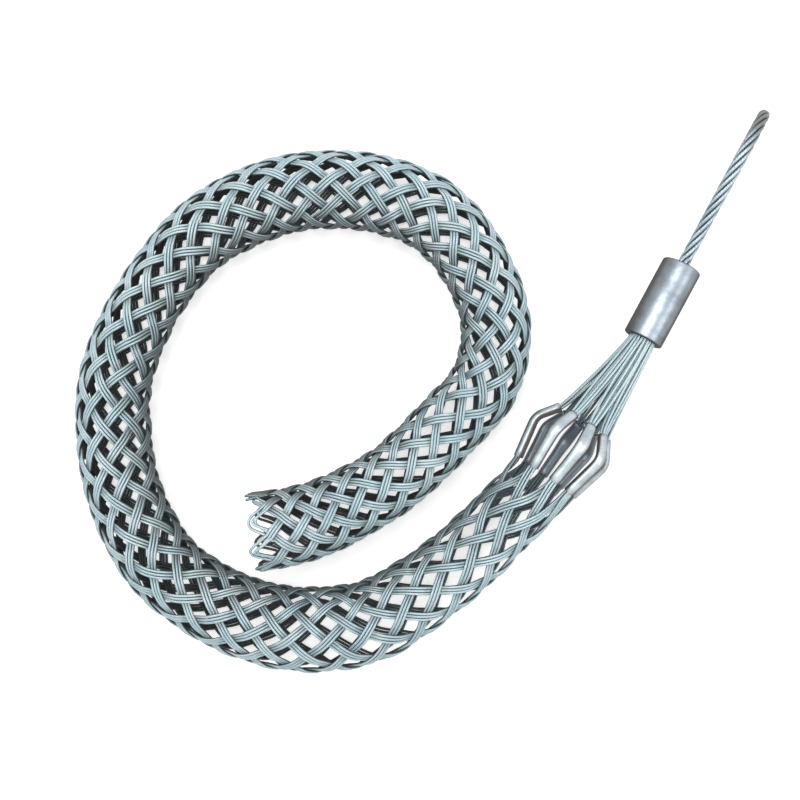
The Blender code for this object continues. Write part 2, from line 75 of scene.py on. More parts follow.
# Share of the length, and degrees that the mesh has turned round its axis there
MESH_TURN = (
    (0.0, 0.0), (0.12, 4.3), (0.28, 4.0), (0.42, 1.4), (0.6, 4.3), (0.78, 0.0), (1.0, 1.0),
)
# Share of the length, and degrees that the mesh has slipped round on the side on the floor
FLOOR_SLIP = (
    (0.0, 0.0), (0.06, 20.0), (0.16, 22.0), (0.22, 0.0), (0.30, -20.0), (0.66, -20.0),
    (0.80, 0.0), (1.0, 0.0),
)
ROW_REST = 0.004  # end of the sleeve that makes no row of its own
# Share that the rows at the guard tubes are longer by, and the distance over which that fades
FRONT_STRETCH = (0.45, 0.03)
SPREAD_ROWS = 0.6  # how gently the bands part where they leave the guard tubes
SETTLED_ROWS = 3.0  # over which the bands come to their even places
RING_STEPS = 5  # rings of a strand from one crossing to the next
STRAND_SIDES = 8
CROSSING_FLAT = 1.35  # above 1, how flat a strand runs over a crossing
CROSSING_SAG = (0.12, 0.25)  # how much lower a flat crossing's edges are, and how far they reach
ROD_END_REACH = (0.45, 0.30)  # of the radius, from ring to ring of a rod's rounded end
ROD_END_SCALE = 0.8
WANDER_WAVES = 4  # in each irregularity
# Slow irregularities along a band: how much, and over how many rows
SPACE_WANDER = (0.05, 5.0)
BAND_WANDER = (0.0010, 6.0)
DEPTH_WANDER = (0.00018, 3.0)
FREE_ROWS = (4, 3)  # over which they grow from the guard tubes, and fade to the tail
FIRST_SEED = 1000
BAND_SEEDS = 40  # between bands
BACK_SEED = 400  # of the strands that wind the other way

# Guard tubes, ferrule and eye, as in the CAD
GUARDS = 8
GUARD_WIDTH = 0.0092
GUARD_HEIGHT = 0.0066
GUARD_WALL = 0.0009
GUARD_LOWER_RADIUS = 0.0224
GUARD_KNEE_RADIUS = 0.0288
GUARD_UPPER_RADIUS = 0.0190
GUARD_LOWER_RUN = 0.0290
GUARD_UPPER_RUN = 0.0145
GUARD_BEND_REACH = 0.0050
CAGE_START = (0.0980, -0.0512)
CAGE_HEADING = 54.3
GUARD_SETTLED = (0, 10, 7, 0, 0, 5, -4, -12)  # degrees that each tube lies from its even place
GUARD_BEND_STEPS = 14
GUARD_LEG_STEPS = (6, 5)
KNEE_PLACE = (0.66, 0.16)  # share of a tube's length, and how far the knee's flattening reaches
# Share of a tube's width at its start, and what the end and the knee have more
GUARD_NARROW = (0.80, 0.06, 0.13)
KNEE_FLAT = 0.05
RIM_ROUND = 0.6
FAN_RUN = 0.0700
FERRULE_RADIUS = 0.0136
FERRULE_LENGTH = 0.0565
MOUTH_RADIUS = 0.0096
MOUTH_DEPTH = 0.0220
FERRULE_ROUNDING = (0.0016, 0.0013, 0.0007, 0.0004)  # from the nose to the mouth's bottom
ROUNDING_STEPS = 6
HEAD_HEADING = 61.6
EYE_ROPE_RADIUS = 0.0040
EYE_LENGTH = 0.1180
EYE_HALF_WIDTH = 0.0255
EYE_NECK = 0.0080
EYE_SHOULDERS = ((0.35, 0.42), (0.72, 0.88))  # shares of the way to the widest place, and out
EYE_ARC_STEPS = 4
EYE_ROLL = 10.0
EYE_LEG_DEPTH = 0.0230
EYE_LEG_OFFSET = 0.0047
ROPE_LAY = 0.054

TUBE_SPLIT = 6  # last point of a tube's line that the sleeve's strands reach
TUBE_LAYER = 0.00095  # of the strands in a tube, above and below its axis
TUBE_SPACE = 0.00172  # of the strands in a tube, side by side
GUARD_SIDES = 28
FERRULE_SIDES = 72
FAN_RINGS = 34
FAN_SIDES = 12
FAN_SCALE = 0.96  # of the strands' radius
FAN_LAYER = {1: 0.80, -1: 0.45}  # shade of the outer and the inner strands, as in the weave
FAN_SPREAD = 0.0012  # of a tube's strands, half way to the ferrule
FAN_LAYER_SPREAD = 0.4
FAN_SPREAD_POWER = 1.2
FAN_LOOSE = 0.0007
FAN_PULL = (0.30, 0.45)  # how far a strand keeps its way out of the tube, and into the ferrule
PULL_OUT_RANGE = (0.8, 1.2)
PULL_IN_RANGE = (0.9, 1.1)
MOUTH_LOOSE = 2.0  # degrees
MOUTH_SHARES = (0.0, 0.5, 0.97)  # of the mouth's depth
# Layer and place in the tube: circle in the ferrule's mouth, and degrees from the tube's angle
MOUTH_PLACES = {
    (1, 0): (0.0084, 0.0),
    (1, 1): (0.0084, 15.0),
    (-1, 1): (0.0063, 11.25),
    (-1, 0): (0.0042, 0.0),
}
ROPE_STRANDS = 6
ROPE_WIRES = 8
WIRE_TURNS = -3.5  # of a strand's wires against the strand's outer side, in one lay of the rope
WIRE_GROOVE = (0.15, 0.7)  # depth in strand radii, and sharpness
ROPE_STRAND_OUT = 2.02  # in thirds of the rope's radius, as the next
ROPE_STRAND_RADIUS = 1.04
EYE_RINGS = 400

# Loops at the tail
LOOP_ROWS = 0.90  # before the tip, where a strand leaves the lattice for its loop
LOOP_RADIUS = 0.0055  # of a loop's middle strand
LOOP_SKEW = 0.0075  # that the loops on one side reach further than those across
LOOP_LOW = 20.0  # degrees round the sleeve of the shortest loop
LOOP_SKEW_POWER = 1.5
LOOP_SLACK = (0.0, 0.0026, 0.0006, 0.0, 0.0014, 0.0003, 0.0020)  # that loops are longer by
LOOP_RINGS = 15
LOOP_LEG_SHARES = (0.33, 0.67)
LOOP_LIFT = 0.8  # radii that a loop's strands lie over each other
LOOP_LAYER = 0.6  # shade, from -1 in the weave's lower layer to 1 in the upper one
# Cut ends beside the loops: degrees round the sleeve, reach past its end, and degrees to the axis
CUT_ENDS = (
    (4.0, 0.0036, 12.0), (10.0, 0.0054, 6.0), (17.0, 0.0026, -8.0), (24.0, 0.0042, 16.0),
    (-2.0, 0.0018, 2.0),
)
CUT_LENGTH = 0.0120
CUT_RINGS = 8
CUT_DEPTH = (1.6, 1.2)  # radii below the sleeve's face, and how many the tip rises by

# Looks
COIL_MIDDLE = (-0.07, 0.0, 0.02)  # that the coil's inner side, darkened by painted shade, faces
STRAND_WIRES = 6
STRAND_LAY = 0.0105
STRAND_COLOUR = (0.54, 0.76, 0.83)
STRAND_BLOOM = (0.76, 0.95, 1.0)
STRAND_DULL = (0.38, 0.50, 0.54)
STRAND_PAINTED_GLINT = (0.92, 0.96, 0.97)
DARK_BROWN = (0.10, 0.075, 0.06)
TUBE_COLOUR = (0.66, 0.75, 0.80)
TUBE_DULL = (0.44, 0.52, 0.57)
TUBE_LINES = (0.40, 0.37, 0.34)
TUBE_SHADE = (0.20, 0.27, 0.33)
FERRULE_COLOUR = (0.39, 0.45, 0.51)
FERRULE_DULL = (0.24, 0.28, 0.32)
FERRULE_LINES = (0.26, 0.25, 0.25)
FERRULE_SHADE = (0.085, 0.078, 0.074)
EDGE_TINT = (0.22, 0.20, 0.18)  # of bare metal seen at a flat angle
ROPE_COLOUR = (0.42, 0.53, 0.59)
ROPE_BLOOM = (0.66, 0.80, 0.87)
ROPE_DULL = (0.28, 0.33, 0.36)
ROPE_GREASE_AND_SHADE = (0.05, 0.065, 0.075)
# Dark colour of the strands' dirt and painted shade: far from the guard tubes, nearer, beside them, and
# the painted shade on the coil's inner side
STRAND_DIRT_AND_SHADE_FAR = (0.026, 0.041, 0.047)
STRAND_DIRT_AND_SHADE_NEAR = (0.055, 0.085, 0.098)
STRAND_DIRT_AND_SHADE_BESIDE = (0.15, 0.21, 0.235)
STRAND_INNER_SHADE = (0.045, 0.046, 0.045)

# Floor, light and camera
FLOOR_HALF = 1.5
FLOOR_PALE = ((0.90, 0.90, 0.90), (0.93, 0.93, 0.93))  # as seen
FLOOR_DARK = (0.14, 0.14, 0.14)  # as it lights the object
FLOOR_GLOW = 0.60
WORLD_STRENGTH = 0.35  # of the light on the object
# Lamps that point at the middle: place, size and power
KEY_LIGHT = ((-0.35, 0.50, 1.9), 1.3, 26)
FILL_LIGHT = ((1.2, -0.4, 1.3), 0.8, 6)
CAMERA_HEIGHT = 0.717
PIXEL_SPREAD = 0.000985  # metres to a pixel, a metre below the camera
PICTURE_HALF = 400  # pixels
SENSOR = 36.0

rng = np.random.RandomState(7)


def smooth(x):
    x = np.clip(x, 0.0, 1.0)
    return x * x * (3 - 2 * x)


def between(table, share):
    """Value at a share of the way, eased from one row of a table to the next."""
    shares, values = np.array(table).T
    i = np.clip(np.searchsorted(shares, share) - 1, 0, len(shares) - 2)
    part = smooth((share - shares[i]) / (shares[i + 1] - shares[i]))
    return values[i] + (values[i + 1] - values[i]) * part


def spline_through(points):
    """Smooth line from the second point to the last but one."""
    points = np.asarray(points, float)
    t = (np.arange(SPLINE_STEPS) / SPLINE_STEPS)[:, None]
    line = []
    for a, b, c, d in zip(points, points[1:], points[2:], points[3:]):
        squared, cubed = 2 * a - 5 * b + 4 * c - d, 3 * b - a - 3 * c + d
        line.append(b + 0.5 * ((c - a) * t + squared * t**2 + cubed * t**3))
    return np.concatenate(line + [points[-2][None]])


def lengths_along(line):
    return np.concatenate([[0.0], np.cumsum(np.linalg.norm(np.diff(line, axis=0), axis=1))])


def unit(v):
    return v / np.maximum(np.linalg.norm(v, axis=-1, keepdims=True), 1e-12)


def heading(degrees):
    return np.array((math.cos(math.radians(degrees)), math.sin(math.radians(degrees)), 0.0))


class Axis:
    """Level axis, or a row of them, with forward, left and up."""

    def __init__(self, point, forward):
        self.point = point
        self.forward = unit(forward)
        self.left = np.stack([-self.forward[..., 1], self.forward[..., 0], 0 * self.forward[..., 0]], -1)

    def outward(self, angle):
        return self.left * np.cos(angle)[..., None] + UP * np.sin(angle)[..., None]

    def around(self, angle):
        return UP * np.cos(angle)[..., None] - self.left * np.sin(angle)[..., None]

    def at(self, along, radius, angle):
        along, radius, angle = (np.asarray(x, float) for x in (along, radius, angle))
        return self.point + self.forward * along[..., None] + self.outward(angle) * radius[..., None]


def cage_height():
    """Height of the cage's axis when its lowest tube lies on the floor."""
    tilt = min(abs(guard_angle(index) - 1.5 * math.pi) for index in range(GUARDS))
    reach = math.hypot(GUARD_HEIGHT / 2 * math.cos(tilt), GUARD_WIDTH / 2 * math.sin(tilt))
    return GUARD_KNEE_RADIUS * math.cos(tilt) + reach


def even_angle(index):
    return 2 * math.pi * index / GUARDS


def guard_angle(index):
    return even_angle(index) + math.radians(GUARD_SETTLED[index])


CAGE = Axis(np.array((*CAGE_START, cage_height())) + ORIGIN, heading(CAGE_HEADING))
mouth = CAGE.point + CAGE.forward * (GUARD_LOWER_RUN + GUARD_UPPER_RUN + FAN_RUN)
mouth[2] = EYE_HALF_WIDTH * math.cos(math.radians(EYE_ROLL)) + EYE_ROPE_RADIUS + ORIGIN[2]
HEAD = Axis(mouth, heading(HEAD_HEADING))


def front_radius():
    return GUARD_LOWER_RADIUS + 2 * STRAND_RADIUS


def sleeve_radius(share):
    free = SLEEVE_RADIUS * between(SWELLING, share)
    return front_radius() + (free - front_radius()) * smooth(share / FRONT_BLEND)


def sleeve_line():
    start = np.array((*CAGE_START, 0.0))
    route = [np.array((*point, 0.0)) for point in COIL_ROUTE]
    reach = sleeve_radius(np.array(TAIL_BESIDE_SHARE)) + sleeve_radius(np.array(1.0)) + TAIL_CLEARANCE
    tail = np.array((*TAIL_BESIDE, 0.0)) + heading(TAIL_DIRECTION) * reach
    before = start + CAGE.forward * np.linalg.norm(route[0] - start)
    return spline_through([before, start, *route, tail, 2 * tail - route[-1]]) + ORIGIN * (1, 1, 0)


LINE = sleeve_line()
ALONG = lengths_along(LINE)
LENGTH = ALONG[-1]
WAY = unit(np.gradient(LINE, ALONG, axis=0))


def sleeve_axis(distance):
    """Axis of the sleeve at distances from the guard tubes, which may run a little past the tail."""
    inside = np.clip(distance, 0, LENGTH)
    point = np.stack([np.interp(inside, ALONG, LINE[:, i]) for i in range(3)], -1)
    way = unit(np.stack([np.interp(inside, ALONG, WAY[:, i]) for i in range(3)], -1))
    point = point + way * (distance - inside)[..., None]
    share = inside / LENGTH
    lift = CAGE.point[2] - ORIGIN[2] - front_radius()
    point[..., 2] = sleeve_radius(share) + lift * (1 - smooth(share / FRONT_BLEND)) + ORIGIN[2]
    return Axis(point, -way)


def sleeve_point(distance, angle, depth):
    radius = sleeve_radius(np.clip(distance / LENGTH, 0, 1)) - depth
    return sleeve_axis(distance).at(0, radius, angle)


# Rows of crossings: the mesh's strands keep their length, so a wider sleeve has shorter rows
def row_distances():
    distance, rows = 0.0, [0.0]
    while distance < LENGTH - ROW_REST:
        radius = float(sleeve_radius(np.array(distance / LENGTH))) - 2 * STRAND_RADIUS
        arc = radius * math.pi / BANDS
        step = math.sqrt(float(between(CROSSING_SPACE, np.array(distance / LENGTH))) ** 2 - arc**2)
        step *= 1 + FRONT_STRETCH[0] * math.exp(-distance / FRONT_STRETCH[1])
        distance += step
        rows.append(distance)
    rows = np.array(rows)
    return rows * LENGTH / rows[-1]


ROWS = row_distances()
LAST_ROW = len(ROWS) - 1


def parted(row):
    """Lattice rows that the bands have turned by: they leave the tubes straight and then part."""
    return row - SPREAD_ROWS * (1 - np.exp(-row / SPREAD_ROWS))


def solve_row(turned):
    """The row where the bands have turned by a number of lattice rows."""
    row = turned + SPREAD_ROWS
    for _ in range(20):
        row = turned + SPREAD_ROWS * (1 - np.exp(-row / SPREAD_ROWS))
    return row


LAST_TURN = round(parted(LAST_ROW))
END_ROW = float(solve_row(np.array(float(LAST_TURN))))


def row_distance(row):
    """Distance along the sleeve, stretched so that the tail's loops end where the sleeve does."""
    stretch = LENGTH / np.interp(END_ROW, np.arange(LAST_ROW + 1), ROWS)
    inside = np.clip(row, 0, LAST_ROW)
    step = ROWS[-1] - ROWS[-2]
    return (np.interp(inside, np.arange(LAST_ROW + 1), ROWS) + (row - inside) * step) * stretch


def wave(x):
    """Upper and lower layer, with flat crossings and steep runs between them."""
    c = np.cos(math.pi * x) * CROSSING_FLAT
    sag, reach = CROSSING_SAG
    return np.clip(c, -1, 1) * (1 - sag * np.exp(-((np.abs(c) - 1) / reach) ** 2))


def wander(row, seed, amount, length):
    """Slow, small irregularity along the sleeve."""
    r = np.random.RandomState(seed)
    total = np.zeros_like(row)
    for k in range(WANDER_WAVES):
        one_wave = length * (0.5 + r.rand())
        total += math.sqrt(1 / (k + 1)) * np.sin(row / one_wave * (k + 1) + r.rand() * 7)
    return total * amount / 2


# Meshes
def new_piece(name, verts, faces, material, along=None, layer=None):
    """Mesh of four-sided faces. The UV maps give each corner's place along and round its strand."""
    mesh = bpy.data.meshes.new(name)
    verts = np.asarray(verts, np.float32)
    faces = np.asarray(faces, np.int32)
    mesh.vertices.add(len(verts))
    mesh.vertices.foreach_set("co", verts.ravel())
    mesh.loops.add(faces.size)
    mesh.loops.foreach_set("vertex_index", faces.ravel())
    mesh.polygons.add(len(faces))
    mesh.polygons.foreach_set("loop_start", np.arange(len(faces), dtype=np.int32) * 4)
    mesh.update(calc_edges=True)
    for word, values in (("along", along), ("layer", layer)):
        if values is not None:
            uv = mesh.uv_layers.new(name=word)
            uv.data.foreach_set("uv", np.asarray(values, np.float32).ravel())
    mesh.shade_smooth()
    mesh.validate()
    mesh.materials.append(material)
    obj = bpy.data.objects.new(name, mesh)
    bpy.context.scene.collection.objects.link(obj)
    return obj


def grid_faces(rows, columns, base=0):
    """Faces between neighbouring rings of points, each ring closed on itself."""
    i, j = np.meshgrid(np.arange(rows - 1), np.arange(columns), indexing="ij")
    k = (j + 1) % columns
    near, far = i * columns, (i + 1) * columns
    quads = np.stack([near + j, near + k, far + k, far + j], -1)
    return quads.reshape(-1, 4) + base


def ring_map(along, sides):
    """Corners of grid_faces in a UV map: how far along the rings, and the share of the way round."""
    i, j = np.meshgrid(np.arange(len(along) - 1), np.arange(sides), indexing="ij")
    low, high = j / sides, (j + 1) / sides
    near, far = along[i], along[i + 1]
    corners = [np.stack(c, -1) for c in ((near, low), (near, high), (far, high), (far, low))]
    return np.stack(corners, -2).reshape(-1, 4, 2)


def circle(sides):
    return np.arange(sides) / sides * 2 * math.pi


class Rods:
    """Rods swept along lines, gathered into one mesh."""

    def __init__(self):
        self.points, self.faces, self.along, self.layer, self.count = [], [], [], [], 0

    def sweep(self, centre, normal, radius, sides, layer, tone, section=None, twist=0.0):
        tangent = unit(np.gradient(centre, axis=0))
        # Two rings more at each end round it off
        reach = np.array(ROD_END_REACH)[:, None] * radius
        before, after = centre[0] - tangent[0] * reach, centre[-1] + tangent[-1] * reach[::-1]
        centre = np.concatenate([before, centre, after])
        tangent = np.concatenate([tangent[[0, 0]], tangent, tangent[[-1, -1]]])
        normal = np.concatenate([normal[[0, 0]], normal, normal[[-1, -1]]])
        layer = np.broadcast_to(layer, (len(centre) - 4,))
        layer = np.concatenate([layer[[0, 0]], layer, layer[[-1, -1]]])
        scale = np.ones(len(centre))
        scale[[0, -1]] = 0.0
        scale[[1, -2]] = ROD_END_SCALE
        normal = unit(normal - tangent * (normal * tangent).sum(-1, keepdims=True))
        side = np.cross(tangent, normal)
        along = lengths_along(centre)
        angle = circle(sides)
        turned = angle[None] + along[:, None] * twist
        size = radius * scale[:, None] * (np.ones(sides) if section is None else section(angle))[None]
        ring = np.cos(turned)[..., None] * normal[:, None] + np.sin(turned)[..., None] * side[:, None]
        self.points.append((centre[:, None] + ring * size[..., None]).reshape(-1, 3))
        self.faces.append(grid_faces(len(centre), sides, self.count))
        self.count += len(centre) * sides
        self.along.append(ring_map(along, sides))
        i = np.repeat(np.arange(len(centre) - 1)[:, None], sides, axis=1)
        tones = np.full(i.shape, tone)
        corners = [np.stack((layer[place], tones), -1) for place in (i, i, i + 1, i + 1)]
        self.layer.append(np.stack(corners, -2).reshape(-1, 4, 2))

    def piece(self, name, material):
        parts = (self.points, self.faces, self.along, self.layer)
        points, faces, along, layer = (np.concatenate(part) for part in parts)
        return new_piece(name, points, faces, material, along, layer)


def dress(piece, node):
    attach(piece, "root")
    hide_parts(node)


# Materials
class Nodes:
    """Short hand for building a material's nodes."""

    def __init__(self, name):
        self.material = bpy.data.materials.new(name)
        self.material.use_nodes = True
        self.tree = self.material.node_tree
        self.shader = self.tree.nodes["Principled BSDF"]

    def new(self, kind):
        return self.tree.nodes.new(kind)

    def put(self, socket, value):
        if isinstance(value, bpy.types.NodeSocket):
            self.tree.links.new(value, socket)
        else:
            socket.default_value = value

    def math(self, operation, *values):
        node = self.new("ShaderNodeMath")
        node.operation = operation
        for socket, value in zip(node.inputs, values):
            self.put(socket, value)
        return node.outputs[0]

    def place(self):
        return self.new("ShaderNodeTexCoord").outputs["Object"]

    def split(self, vector):
        node = self.new("ShaderNodeSeparateXYZ")
        self.put(node.inputs[0], vector)
        return node.outputs

    def map(self, name):
        node = self.new("ShaderNodeUVMap")
        node.uv_map = name
        return self.split(node.outputs["UV"])

    def stretched(self, vector, degrees, scale):
        """Coordinates turned in plan and scaled, for marks that run one way."""
        node = self.new("ShaderNodeMapping")
        self.put(node.inputs["Vector"], vector)
        node.inputs["Rotation"].default_value = (0, 0, -math.radians(degrees))
        node.inputs["Scale"].default_value = scale
        return node.outputs["Vector"]

    def noise(self, vector, scale, detail=3.0, rough=0.55):
        node = self.new("ShaderNodeTexNoise")
        node.inputs["Scale"].default_value = scale
        node.inputs["Detail"].default_value = detail
        node.inputs["Roughness"].default_value = rough
        self.put(node.inputs["Vector"], vector)
        return node.outputs["Fac"]

    def ramp(self, value, low, high, first=0.0, second=1.0):
        node = self.new("ShaderNodeMapRange")
        for socket, v in zip(node.inputs, (value, low, high, first, second)):
            self.put(socket, v)
        return node.outputs["Result"]

    def mix(self, share, first, second):
        node = self.new("ShaderNodeMix")
        node.data_type = "RGBA"
        colours = [c if isinstance(c, bpy.types.NodeSocket) else (*c, 1) for c in (first, second)]
        for socket, value in zip((node.inputs[0], node.inputs[6], node.inputs[7]), (share, *colours)):
            self.put(socket, value)
        return node.outputs[2]

    def bump(self, height, distance):
        node = self.new("ShaderNodeBump")
        node.inputs["Distance"].default_value = distance
        self.put(node.inputs["Height"], height)
        self.put(self.shader.inputs["Normal"], node.outputs["Normal"])

    def flank(self, low, high, most):
        """Painted shade on the flanks and not on the top and the bottom."""
        normal = self.split(self.new("ShaderNodeNewGeometry").outputs["Normal"])
        return self.ramp(self.math("ABSOLUTE", normal["Z"]), low, high, most, 0.0)

    def crevice(self, share_round, outward, low, high, most):
        """Painted shade on a rod's sides and back, from the share of the way round that faces outward.
        """
        turn = self.math("SUBTRACT", share_round, outward)
        facing = self.math("COSINE", self.math("MULTIPLY", turn, 2 * math.pi))
        return self.ramp(facing, low, high, most, 0.0)

    def towards(self, point, low, high, most):
        """Painted shade on the sides that face a point."""
        way = self.new("ShaderNodeVectorMath")
        way.operation = "SUBTRACT"
        way.inputs[0].default_value = point
        self.put(way.inputs[1], self.place())
        even = self.new("ShaderNodeVectorMath")
        even.operation = "NORMALIZE"
        self.put(even.inputs[0], way.outputs["Vector"])
        facing = self.new("ShaderNodeVectorMath")
        facing.operation = "DOT_PRODUCT"
        self.put(facing.inputs[0], even.outputs["Vector"])
        self.put(facing.inputs[1], self.new("ShaderNodeNewGeometry").outputs["Normal"])
        return self.ramp(facing.outputs["Value"], low, high, 0.0, most)

    def finish(self, colour, metallic, roughness):
        self.put(self.shader.inputs["Base Color"], colour)
        self.put(self.shader.inputs["Roughness"], roughness)
        self.shader.inputs["Metallic"].default_value = metallic
        return self.material


def strand_material(name, low_shade, inner_shade):
    """Galvanised strand: six wires twisted along it, zinc bloom, painted glints, dirt and painted shade
    in the hollows between the wires, and painted shade on its sides and back, on its flanks, under the
    crossings, low down and on the coil's inner side.
    """
    n = Nodes(name)
    along, layer = n.map("along"), n.map("layer")
    turns = n.math("MULTIPLY", along["X"], STRAND_WIRES / STRAND_LAY)
    phase = n.math("ADD", turns, n.math("MULTIPLY", along["Y"], float(STRAND_WIRES)))
    wire = n.math("ABSOLUTE", n.math("SINE", n.math("MULTIPLY", phase, math.pi)))
    where = n.place()
    spot = n.split(where)
    # Colour that the dirt and painted shade below take, by place
    dirt_and_shade = n.mix(n.ramp(spot["X"], -0.10, 0.09), STRAND_DIRT_AND_SHADE_FAR, STRAND_DIRT_AND_SHADE_NEAR)
    # Where the sleeve runs up to the guard tubes, the dirt and painted shade are lighter
    to_cage = n.math("SUBTRACT", spot["X"], n.math("MULTIPLY", spot["Y"], 0.8))
    dirt_and_shade = n.mix(n.ramp(to_cage, 0.09, 0.14), dirt_and_shade, STRAND_DIRT_AND_SHADE_BESIDE)
    bloom = n.noise(where, 34.0, 4.0, 0.6)
    fine = n.noise(where, 800.0, 2.0, 0.6)
    colour = n.mix(n.ramp(bloom, 0.36, 0.64), STRAND_COLOUR, STRAND_BLOOM)
    colour = n.mix(n.ramp(layer["Y"], 0.0, 1.0, 0.0, 0.18), colour, STRAND_DULL)
    # Painted glints: near-white specks from fine noise
    colour = n.mix(n.ramp(fine, 0.48, 0.72, 0.0, 0.45), colour, STRAND_PAINTED_GLINT)
    # Dirt and painted shade in the hollows between the wires
    colour = n.mix(n.ramp(wire, 0.0, 0.60, 0.92, 0.0), colour, dirt_and_shade)
    # Painted shade on each strand's sides and back, away from the sleeve's outside
    colour = n.mix(n.crevice(along["Y"], 0.0, -0.10, 0.70, 0.90), colour, dirt_and_shade)
    # Painted shade on the flanks
    colour = n.mix(n.flank(0.05, 0.60, 0.50), colour, dirt_and_shade)
    # Painted shade in the weave's lower layer, under the crossings
    colour = n.mix(n.ramp(layer["X"], 0.10, 0.60, 0.32, 0.0), colour, dirt_and_shade)
    # Painted shade on the low parts, near the floor
    colour = n.mix(n.ramp(spot["Z"], 0.014, 0.038, low_shade, 0.0), colour, dirt_and_shade)
    # Painted shade on the coil's inner side
    colour = n.mix(n.towards(COIL_MIDDLE, 0.08, 0.68, inner_shade), colour, STRAND_INNER_SHADE)
    n.bump(wire, 0.00018)
    return n.finish(colour, 0.25, n.ramp(fine, 0.3, 0.7, 0.28, 0.44))


def rope_material():
    """Wire rope: bright wires with grease between them, painted shade on the strands' backs between the
    strands and on the flanks, and darker and browner towards the eye's tip.
    """
    n = Nodes("wire_rope_look")
    where, along = n.place(), n.map("along")
    bloom = n.noise(where, 60.0, 4.0, 0.6)
    fine = n.noise(where, 900.0, 2.0, 0.6)
    wire = n.math("ABSOLUTE", n.math("COSINE", n.math("MULTIPLY", along["Y"], ROPE_WIRES * math.pi)))
    colour = n.mix(n.ramp(bloom, 0.35, 0.65), ROPE_COLOUR, ROPE_BLOOM)
    colour = n.mix(n.ramp(fine, 0.45, 0.75, 0.0, 0.5), colour, ROPE_DULL)
    colour = n.mix(n.ramp(wire, 0.0, 0.55, 0.85, 0.0), colour, ROPE_GREASE_AND_SHADE)
    share_round = n.math("ADD", along["Y"], n.math("MULTIPLY", along["X"], WIRE_TURNS / ROPE_LAY))
    # Painted shade on each strand's back, between the strands
    colour = n.mix(n.crevice(share_round, 0.0, 0.10, 0.93, 0.92), colour, ROPE_GREASE_AND_SHADE)
    # Painted shade on the flanks
    colour = n.mix(n.flank(0.05, 0.55, 0.55), colour, ROPE_GREASE_AND_SHADE)
    # Darker and browner towards the eye's tip
    colour = n.mix(n.ramp(n.map("layer")["X"], 0.66, 0.92, 0.0, 0.90), colour, DARK_BROWN)
    n.bump(fine, 0.00006)
    return n.finish(colour, 0.55, n.ramp(bloom, 0.3, 0.7, 0.30, 0.44))


def plated_material():
    """Satin plated tube, with drawing lines along it, dull spots, painted shade on the side facing into
    the cage, on the flanks and on the lower tubes, and darker, browner ends and bore.
    """
    n = Nodes("satin_tube_look")
    where = n.place()
    lines = n.noise(n.stretched(where, CAGE_HEADING, (12.0, 160.0, 160.0)), 9.0, 4.0, 0.65)
    spots = n.noise(where, 110.0, 3.0, 0.6)
    colour = n.mix(n.ramp(spots, 0.42, 0.70), TUBE_COLOUR, TUBE_DULL)
    colour = n.mix(n.ramp(lines, 0.52, 0.75, 0.0, 0.55), colour, TUBE_LINES)
    along = n.map("along")
    # Painted shade on the side that faces into the cage
    colour = n.mix(n.crevice(along["Y"], 0.25, -0.20, 0.60, 0.85), colour, DARK_BROWN)
    # Painted shade and dark reflections on the flanks
    colour = n.mix(n.flank(0.30, 0.92, 0.72), colour, DARK_BROWN)
    # Painted shade on the lower tubes
    colour = n.mix(n.ramp(n.split(where)["Z"], 0.010, 0.034, 0.55, 0.0), colour, TUBE_SHADE)
    # Darker and browner at the ends and in the bore
    colour = n.mix(n.ramp(along["X"], 1.0, 1.6, 0.0, 0.9), colour, DARK_BROWN)
    n.bump(n.math("ADD", lines, n.math("MULTIPLY", spots, 0.5)), 0.00006)
    n.shader.inputs["Specular Tint"].default_value = (*EDGE_TINT, 1)
    return n.finish(colour, 0.70, n.ramp(lines, 0.3, 0.75, 0.30, 0.46))


def ferrule_material():
    """Pressed aluminium: drag lines along it, dull handling marks, and painted shade and dark
    reflections on the flanks.
    """
    n = Nodes("pressed_aluminium_look")
    where = n.place()
    lines = n.noise(n.stretched(where, HEAD_HEADING, (20.0, 260.0, 260.0)), 7.0, 5.0, 0.7)
    marks = n.noise(where, 75.0, 5.0, 0.65)
    colour = n.mix(n.ramp(marks, 0.40, 0.68), FERRULE_COLOUR, FERRULE_DULL)
    colour = n.mix(n.ramp(lines, 0.50, 0.78, 0.0, 0.5), colour, FERRULE_LINES)
    # Painted shade and dark reflections on the flanks
    colour = n.mix(n.flank(0.45, 0.97, 0.88), colour, FERRULE_SHADE)
    n.bump(n.math("ADD", n.math("MULTIPLY", lines, 0.6), marks), 0.00010)
    n.shader.inputs["Specular Tint"].default_value = (*EDGE_TINT, 1)
    return n.finish(colour, 0.75, n.ramp(marks, 0.3, 0.7, 0.30, 0.44))


strand_look = strand_material("galvanised_strand_look", 0.45, 0.86)
fan_look = strand_material("fanned_strand_look", 0.20, 0.0)
rope_look = rope_material()
tube_look = plated_material()
ferrule_look = ferrule_material()


# Guard tubes
def guard_path():
    """A guard tube's places along the cage and out of its axis."""
    knee = np.array((GUARD_LOWER_RUN, GUARD_KNEE_RADIUS))
    lower = np.array((0.0, GUARD_LOWER_RADIUS))
    upper = np.array((GUARD_LOWER_RUN + GUARD_UPPER_RUN, GUARD_UPPER_RADIUS))
    start = knee + unit(lower - knee) * GUARD_BEND_REACH
    end = knee + unit(upper - knee) * GUARD_BEND_REACH
    t = (np.arange(GUARD_BEND_STEPS + 1) / GUARD_BEND_STEPS)[:, None]
    bend = start * (1 - t) ** 2 + knee * 2 * t * (1 - t) + end * t**2
    first, second = GUARD_LEG_STEPS
    leg_a = lower + (start - lower) * (np.arange(first) / first)[:, None]
    leg_b = end + (upper - end) * ((np.arange(second) + 1) / second)[:, None]
    return np.concatenate([leg_a, bend, leg_b])


